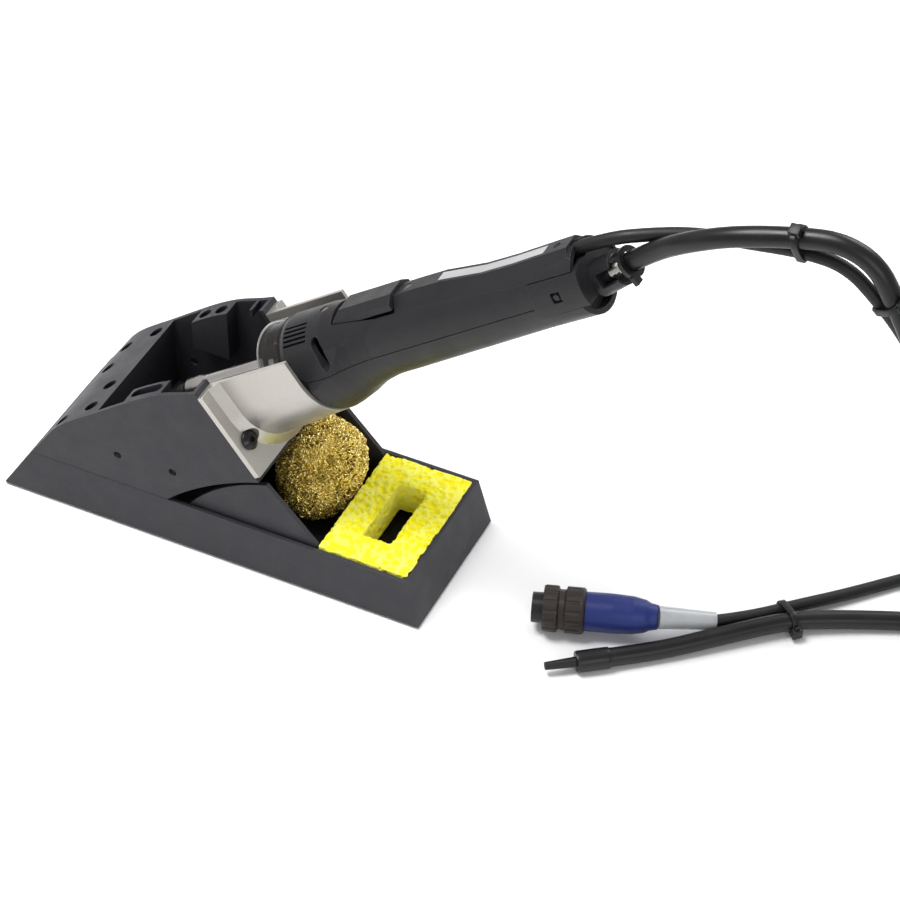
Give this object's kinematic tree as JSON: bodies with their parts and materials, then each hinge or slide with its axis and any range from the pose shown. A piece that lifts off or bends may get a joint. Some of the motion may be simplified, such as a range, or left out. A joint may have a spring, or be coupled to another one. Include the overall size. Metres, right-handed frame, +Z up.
{
  "type": "soldering iron station",
  "caption": "Bench stand with tip bin, wiping sponge and brass wool, holding a vacuum desoldering iron with lead, hose and plug.",
  "frame": {"origin": "on the bench, under the middle of the base tray", "axes": "+X from the nose of the stand towards the back of the iron, +Y across the stand, +Z up"},
  "size_m": [0.5937, 0.2166, 0.286],
  "materials": {
    "stand_plastic": "fine-grained charcoal moulding",
    "bracket_metal": "satin warm silver-grey",
    "black_steel": "black oxide",
    "foot_rubber": "soft matte",
    "sponge_foam": "open-pored yellow cellulose",
    "brass_wire": "curled bright wire",
    "handle_plastic": "fine-textured near-black",
    "inner_black": "dark moulding",
    "smoked_clear": "smoked clear ring",
    "frame_grey": "semi-gloss grey",
    "copper": "copper winding",
    "polished_steel": "polished steel",
    "label_silver": "blank silver foil",
    "cord_jacket": "matte jacket",
    "hose_rubber": "smooth semi-gloss hose",
    "ring_brown": "dark brown-black ribbed",
    "boot_blue": "satin blue",
    "clear_vinyl": "milky clear sleeve",
    "gold_pins": "gold plated",
    "seal_rubber": "silicone",
    "chamber_glass": "clear tube",
    "filter_felt": "felt"
  },
  "bodies": {
    "stand": {"base_tray": "stand_plastic", "rubber_feet": "foot_rubber", "housing_screws": "black_steel", "tip_housing": "stand_plastic", "holder_bracket": "bracket_metal", "bracket_screws": "black_steel", "brass_wool": "brass_wire"},
    "iron": {"handle_lower_shell": "handle_plastic", "handle_upper_shell": "handle_plastic", "trigger_switch": "inner_black", "label_plate": "label_silver", "shell_screws": "polished_steel", "smoked_front_ring": "smoked_clear", "ring_frame": "frame_grey", "heater_coil": "copper", "heater_core": "polished_steel", "heater_barrel": "polished_steel", "desoldering_nozzle": "polished_steel", "front_seal": "seal_rubber", "collector_chamber": "chamber_glass", "chamber_filter": "filter_felt", "rear_seal": "seal_rubber", "rear_end_cap": "handle_plastic", "latch_posts": "inner_black", "rear_plug": "handle_plastic", "hose_spigot": "polished_steel", "hose_clip_ring": "hose_rubber", "plug_insert": "inner_black", "plug_pins": "gold_pins", "plug_boot": "boot_blue", "clear_sleeve": "clear_vinyl", "hose_collar": "hose_rubber", "hose_nozzle": "inner_black", "power_cord_upper": "cord_jacket", "power_cord_coil": "cord_jacket", "power_cord_lower": "cord_jacket", "air_hose_upper": "hose_rubber", "air_hose_coil": "hose_rubber", "air_hose_lower": "hose_rubber", "tie_first": "inner_black", "tie_second": "inner_black", "tie_bench": "inner_black"},
    "sponge": {"sponge": "sponge_foam"},
    "button": {"finger_button": "handle_plastic"},
    "coupling": {"coupling_ring": "ring_brown"}
  },
  "joints": [
    {"name": "iron_lift", "type": "slide", "parent": "stand", "child": "iron", "axis": [0.809, 0, 0.5878], "range_m": [0, 0.12]},
    {"name": "sponge_lift", "type": "slide", "parent": "stand", "child": "sponge", "axis": [0, 0, 1], "range_m": [0, 0.03]},
    {"name": "trigger_press", "type": "slide", "parent": "iron", "child": "button", "axis": [0.5878, 0, -0.809], "range_m": [0, 0.0015], "stiffness_N_per_m": 600},
    {"name": "coupling_turn", "type": "hinge", "parent": "iron", "child": "coupling", "pos_m": [0.1687, -0.0135, 0.0123], "axis": [0.9447, 0.3279, 0], "continuous": true}
  ]
}
